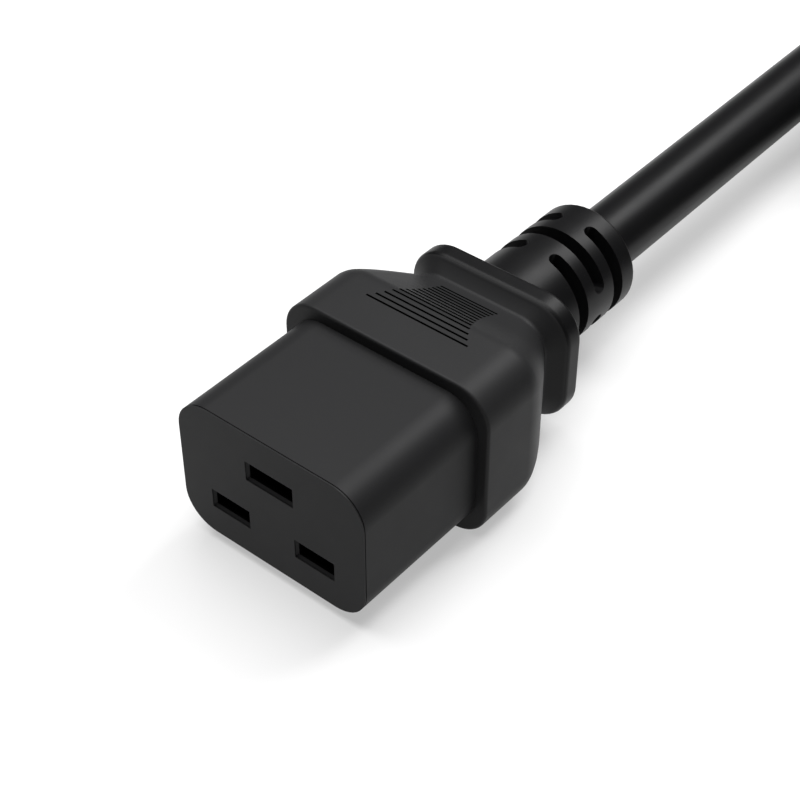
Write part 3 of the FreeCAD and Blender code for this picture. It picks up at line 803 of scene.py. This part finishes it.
class CONNECTOR_OT_finishes(bpy.types.Operator):
    """Make the shared surface effects and every material"""
    bl_idname = "connector.finishes"
    bl_label = "Finishes"

    def execute(self, context):
        finish = context.scene.connector_finish
        moulded_surface_group()
        rolled_metal_group()
        insert_finish(finish)
        grip_finishes(finish)
        jacket_finish(finish)
        core_finish("Green insulation", (0.03, 0.30, 0.06))
        core_finish("Black insulation", (0.02, 0.02, 0.02))
        core_finish("White insulation", (0.75, 0.75, 0.72))
        for name, rgb, tarnish, roughness in (
                ("Brass strip", (0.78, 0.56, 0.24), (0.42, 0.26, 0.10), 0.30),
                ("Nickelled blade", (0.72, 0.70, 0.66), (0.50, 0.46, 0.40), 0.25),
                ("Copper strands", (0.85, 0.45, 0.30), (0.45, 0.20, 0.12), 0.35)):
            metal_finish(name, rgb, tarnish, roughness)
        strap_finish()
        return {"FINISHED"}


class CONNECTOR_OT_socket_insert(bpy.types.Operator):
    """Build the hard insert with its three openings"""
    bl_idname = "connector.socket_insert"
    bl_label = "Socket insert"

    def execute(self, context):
        sizes = context.scene.connector_insert
        nose = outline_of(insert_low, insert_high, sizes.corner)
        body = insert_mesh(sizes, nose, overmould_low.y - insert_low.y)
        coat(body, *INSERT_FINISHES)
        cutters = [opening_mesh(sizes, *opening) for opening in openings(sizes)]
        mesh = cut(body, cutters, "insert")
        move_into(mesh, insert_low, insert_high)
        smooth(mesh)
        flat_faces_first(piece(mesh, "hard_insert", "socket_insert"))
        return {"FINISHED"}


class CONNECTOR_OT_grip(bpy.types.Operator):
    """Build the soft moulding of the connector"""
    bl_idname = "connector.grip"
    bl_label = "Connector grip"

    def execute(self, context):
        sizes = context.scene.connector_grip
        insert = context.scene.connector_insert
        collar = outline_of(overmould_low, overmould_high, sizes.collar_corner)
        nose = outline_of(insert_low, insert_high, insert.corner)
        mesh = grip_mesh(sizes, insert, sizes.collar_straight, collar, nose)
        move_into(mesh, overmould_low, overmould_high)
        piece(mesh, "soft_grip", "overmould")
        return {"FINISHED"}


class CONNECTOR_OT_plug(bpy.types.Operator):
    """Build the plug's shroud and its soft moulding"""
    bl_idname = "connector.plug"
    bl_label = "Plug"

    def execute(self, context):
        plug = context.scene.connector_plug
        sizes = context.scene.connector_grip
        insert = context.scene.connector_insert
        outline = outline_of(plug_insert_low, plug_insert_high, sizes.plug_corner)
        mesh = shroud_mesh(plug, insert, outline, plug_low.y - plug_insert_low.y)
        move_into(mesh, plug_insert_low, plug_insert_high)
        coat(mesh, HARD)
        smooth(mesh)
        flat_faces_first(piece(mesh, "plug_shroud", "plug_insert"))
        mesh = grip_mesh(sizes, insert, sizes.plug_straight, outline, outline)
        move_into(mesh, plug_low, plug_high)
        piece(mesh, "plug_grip", "plug_overmould")
        return {"FINISHED"}


class CONNECTOR_OT_inner_parts(bpy.types.Operator):
    """Give the contacts, blades, cores and conductors their finishes"""
    bl_idname = "connector.inner_parts"
    bl_label = "Contacts and cores"

    def execute(self, context):
        finishes = {}
        for pole, wrap in zip(POLES, ("Green insulation", "Black insulation",
                                      "White insulation")):
            finishes["socket_contact_" + pole] = "Brass strip"
            finishes["plug_blade_" + pole] = "Nickelled blade"
            for end in ("", "plug_"):
                finishes[end + "core_" + pole] = wrap
                finishes[end + "conductor_" + pole] = "Copper strands"
        for node, finish in finishes.items():
            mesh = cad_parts[node].data
            mesh.materials.clear()
            coat(mesh, finish)
        return {"FINISHED"}


# ---- The cord; a lane is the radius and height at which a turn of the coil lies ----

# Y of the route's points where the cord isn't coiled
OUT_OF_CONNECTOR = (0.0142, 0.0311, 0.0941, 0.109)
FIRST_LOW_POINT = 0.129
OFF_THE_COIL = 0.0885
INTO_THE_PLUG = (0.060, 0.0344, 0.0176)

# The winding, in degrees
WINDING = 1980    # from where the cord comes in to where it leaves
FIRST_LANE = 360  # to the end of the first lane
NEXT_LANE = 300   # from there to the end of each next one
CROSSING = 60     # the last part of a lane, where the cord crosses to the next


def coil_radii(sizes):
    """Radii of the inner, middle and outer turns, and the distance from turn to turn."""
    spacing = 2 * CORD_RADIUS + sizes.turn_gap
    return [count * spacing for count in (4, 5, 6)], spacing


def turn_place(sizes, travelled):
    """Radius and height of the winding after the degrees travelled from where it starts."""
    (inner, middle, outer), spacing = coil_radii(sizes)
    first = sizes.tie_thickness + sizes.skin + CORD_RADIUS
    second = first + spacing
    top = second + spacing + sizes.skin
    crown = (middle + outer) / 2
    lanes = [(outer, first), (middle, first), (inner, first),
             (inner, second), (middle, second), (outer, second), (crown, top)]
    crossings = list(zip(lanes, lanes[1:]))
    for number, (here, there) in enumerate(crossings):
        end = FIRST_LANE + NEXT_LANE * number
        if travelled <= end:
            part = eased(max(0.0, (travelled - (end - CROSSING)) / CROSSING))
            if number == len(crossings) - 1:
                turn = part * math.pi / 2
                return (there[0] + (here[0] - there[0]) * math.cos(turn),
                        here[1] + (there[1] - here[1]) * math.sin(turn))
            return tuple(a + (b - a) * part for a, b in zip(here, there))
    return lanes[-1]


def cord_points(sizes):
    """Straight out of the connector, down to the coil, round it, and off its top to the plug."""
    axis = (overmould_low.z + overmould_high.z) / 2
    plug_axis = (plug_low.z + plug_high.z) / 2
    outer = coil_radii(sizes)[0][-1]
    centre = Vector((outer, sizes.coil_centre_y, 0))
    first_height = turn_place(sizes, 0)[1]
    points = [Vector((0, y, axis)) for y in OUT_OF_CONNECTOR]
    points.append(Vector((0, FIRST_LOW_POINT, first_height)))
    step = 360 / sizes.points_per_turn
    outward = 1 / math.cos(math.radians(step / 2))
    for number in range(int(WINDING / step)):
        travelled = (number + 0.5) * step
        radius, height = turn_place(sizes, travelled)
        angle = math.radians(180 - travelled)
        points.append(centre + Vector((radius * outward * math.cos(angle),
                                       radius * outward * math.sin(angle), height)))
    leaving = centre.x + turn_place(sizes, WINDING)[0]
    points.append(Vector((leaving, OFF_THE_COIL, points[-1].z)))
    plug_x = (plug_low.x + plug_high.x) / 2
    points += [Vector((plug_x, y, plug_axis)) for y in INTO_THE_PLUG]
    return points


class CONNECTOR_OT_cord(bpy.types.Operator):
    """Lay the cord: straight run, neat coil and the tail to the plug"""
    bl_idname = "connector.cord"
    bl_label = "Cord"

    def execute(self, context):
        sizes = context.scene.connector_cord
        points = cord_points(sizes)
        curve = bpy.data.curves.new("cord", "CURVE")
        curve.dimensions = "3D"
        curve.bevel_depth = CORD_RADIUS
        curve.bevel_resolution = 7
        curve.resolution_u = 5
        curve.use_fill_caps = True
        spline = curve.splines.new("NURBS")
        spline.points.add(len(points) - 1)
        for point, place in zip(spline.points, points):
            point.co = (*place, 1.0)
        spline.order_u = 3
        spline.use_endpoint_u = True
        spline.resolution_u = curve.resolution_u
        cord = linked("cord", curve)
        coat(curve, "Black cord jacket")
        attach(cord, "root")
        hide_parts("cord_run", "cord_coil", "cord_tail")
        on_cord = [bpy.data.objects[name] for name in ("plug_shroud", "plug_grip", "strap_far",
                                                       "strap_near")]
        on_cord += [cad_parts[part + pole] for part in ("plug_blade_", "plug_core_",
                                                             "plug_conductor_")
                    for pole in POLES]
        return {"FINISHED"}


def strap_outline(sizes, over_top_turn):
    """Radius and height of the strap's inner corners round the bundle."""
    (inner, middle, outer), spacing = coil_radii(sizes)
    reach = CORD_RADIUS + sizes.skin
    bevel = reach * math.tan(math.radians(22.5))
    low = sizes.tie_thickness + reach
    high = low + spacing
    outline = [(inner - reach, low - reach), (outer + reach, low - reach),
               (outer + reach, high + bevel)]
    if over_top_turn:
        crown = (middle + outer) / 2
        top = high + spacing + sizes.skin
        outline += [(crown + reach, top + bevel), (crown + bevel, top + reach),
                    (crown - bevel, top + reach)]
    else:
        outline.append((outer + bevel, high + reach))
    return outline + [(inner - bevel, high + reach), (inner - reach, high + bevel)]


class CONNECTOR_OT_ties(bpy.types.Operator):
    """Wrap a strap round each side of the coil"""
    bl_idname = "connector.ties"
    bl_label = "Straps"

    def execute(self, context):
        sizes = context.scene.connector_cord
        outer = coil_radii(sizes)[0][-1]
        centre = Vector((outer, sizes.coil_centre_y, 0))
        span = sizes.tie_width / outer
        for name, node, angle, over in (("strap_far", "coil_tie_far", 90, True),
                                        ("strap_near", "coil_tie_near", -90, False)):
            bm = bmesh.new()
            corners = [bm.verts.new(centre + Vector((radius, 0, height)))
                       for radius, height in strap_outline(sizes, over)]
            bm.faces.new(corners)
            round_corners(bm, corners, sizes.tie_corner, segments=4)
            loop = bm.faces[:][0]
            edges = loop.edges[:]
            bmesh.ops.delete(bm, geom=[loop], context="FACES_ONLY")
            bmesh.ops.rotate(bm, verts=bm.verts, cent=centre, matrix=Matrix.Rotation(
                math.radians(angle) - span / 2, 3, "Z"))
            bmesh.ops.spin(bm, geom=edges, cent=centre, axis=(0, 0, 1), angle=span, steps=8,
                           use_merge=False, use_duplicate=False)
            mesh = finished_mesh(bm, name)
            mesh.shade_smooth()
            coat(mesh, "Black woven strap")
            obj = piece(mesh, name, node)
            wall = obj.modifiers.new("Strap thickness", "SOLIDIFY")
            wall.thickness = sizes.tie_thickness - sizes.skin
            wall.offset = 1.0
            edge = obj.modifiers.new("Strap edge", "BEVEL")
            edge.width = sizes.tie_edge
            edge.segments = 2
        return {"FINISHED"}


def softbox(name, place, aim, size, power):
    """A square area light that points at a place."""
    light = bpy.data.lights.new(name, "AREA")
    light.size = size
    light.energy = power
    obj = linked(name, light)
    obj.location = place
    obj.rotation_euler = (Vector(aim) - Vector(place)).to_track_quat("-Z", "Y").to_euler()


def stage_camera(stage):
    """The one camera, at its own place and turned by azimuth, elevation and roll."""
    lens = bpy.data.cameras.new("camera")
    lens.lens = stage.lens
    lens.sensor_width = stage.sensor
    lens.clip_start, lens.clip_end = 0.005, 20.0
    camera = linked("camera", lens)
    camera.location = stage.camera_place
    level = math.cos(stage.elevation)
    forward = Vector((-math.sin(stage.azimuth) * level, math.cos(stage.azimuth) * level,
                      -math.sin(stage.elevation)))
    camera.rotation_mode = "QUATERNION"
    turned = Matrix.Rotation(stage.roll, 3, forward).to_quaternion()
    camera.rotation_quaternion = turned @ forward.to_track_quat("-Z", "Y")
    return camera


def pale_floor(stage):
    """A matt floor that glows a little, as a lit translucent table does."""
    bm = bmesh.new()
    bmesh.ops.create_grid(bm, x_segments=1, y_segments=1, size=stage.floor_side)
    mesh = bpy.data.meshes.new("floor")
    bm.to_mesh(mesh)
    bm.free()
    _, principled = new_material("Pale floor")
    for label, value in (("Base Color", opaque(stage.floor_colour)),
                         ("Roughness", stage.floor_roughness), ("Specular IOR Level", 0.0),
                         ("Emission Color", WHITE), ("Emission Strength", stage.floor_glow)):
        principled.inputs[label].default_value = value
    coat(mesh, "Pale floor")
    linked("floor", mesh)


def studio_world(stage):
    """White where the camera looks past the floor, and almost dark as a light."""
    world = bpy.data.worlds.new("studio")
    world.use_nodes = True
    tree = world.node_tree
    background = tree.nodes["Background"]
    background.inputs["Color"].default_value = WHITE
    seen = tree.nodes.new("ShaderNodeLightPath").outputs["Is Camera Ray"]
    tree.links.new(map_range(tree, seen, 0.0, 1.0, stage.room_strength, 1.0),
                   background.inputs["Strength"])
    return world


class CONNECTOR_OT_stage(bpy.types.Operator):
    """Set up the camera, the pale floor and the lights"""
    bl_idname = "connector.stage"
    bl_label = "Stage"

    def execute(self, context):
        scene = context.scene
        stage = scene.connector_stage
        scene.camera = stage_camera(stage)
        pale_floor(stage)
        scene.world = studio_world(stage)
        scene.view_settings.view_transform = "Standard"
        for name, place, size, power in (
                ("softbox", stage.key_place, stage.key_size, stage.key_power),
                ("wide softbox", stage.fill_place, stage.fill_size, stage.fill_power)):
            softbox(name, place, stage.light_aim, size, power)
        return {"FINISHED"}


class CONNECTOR_PT_panel(bpy.types.Panel):
    """Steps that build the connector, in order"""
    bl_label = "Connector"
    bl_space_type = "VIEW_3D"
    bl_region_type = "UI"
    bl_category = "Connector"

    def draw(self, context):
        column = self.layout.column(align=True)
        for operator in operators:
            column.operator(operator.bl_idname)


groups = {
    "connector_insert": InsertSizes,
    "connector_grip": GripSizes,
    "connector_plug": PlugSizes,
    "connector_cord": CordSizes,
    "connector_finish": FinishSettings,
    "connector_stage": StageSettings,
}
operators = [
    CONNECTOR_OT_finishes,
    CONNECTOR_OT_socket_insert,
    CONNECTOR_OT_grip,
    CONNECTOR_OT_plug,
    CONNECTOR_OT_ties,
    CONNECTOR_OT_inner_parts,
    CONNECTOR_OT_cord,
    CONNECTOR_OT_stage,
]


def register():
    for group in groups.values():
        bpy.utils.register_class(group)
    for name, group in groups.items():
        setattr(bpy.types.Scene, name, PointerProperty(type=group))
    for item in operators + [CONNECTOR_PT_panel]:
        bpy.utils.register_class(item)


def unregister():
    for item in reversed(operators + [CONNECTOR_PT_panel]):
        bpy.utils.unregister_class(item)
    for name in groups:
        delattr(bpy.types.Scene, name)
    for group in reversed(list(groups.values())):
        bpy.utils.unregister_class(group)


def main():
    register()
    for operator in operators:
        area, action = operator.bl_idname.split(".")
        getattr(getattr(bpy.ops, area), action)()


if __name__ == "__main__":
    main()
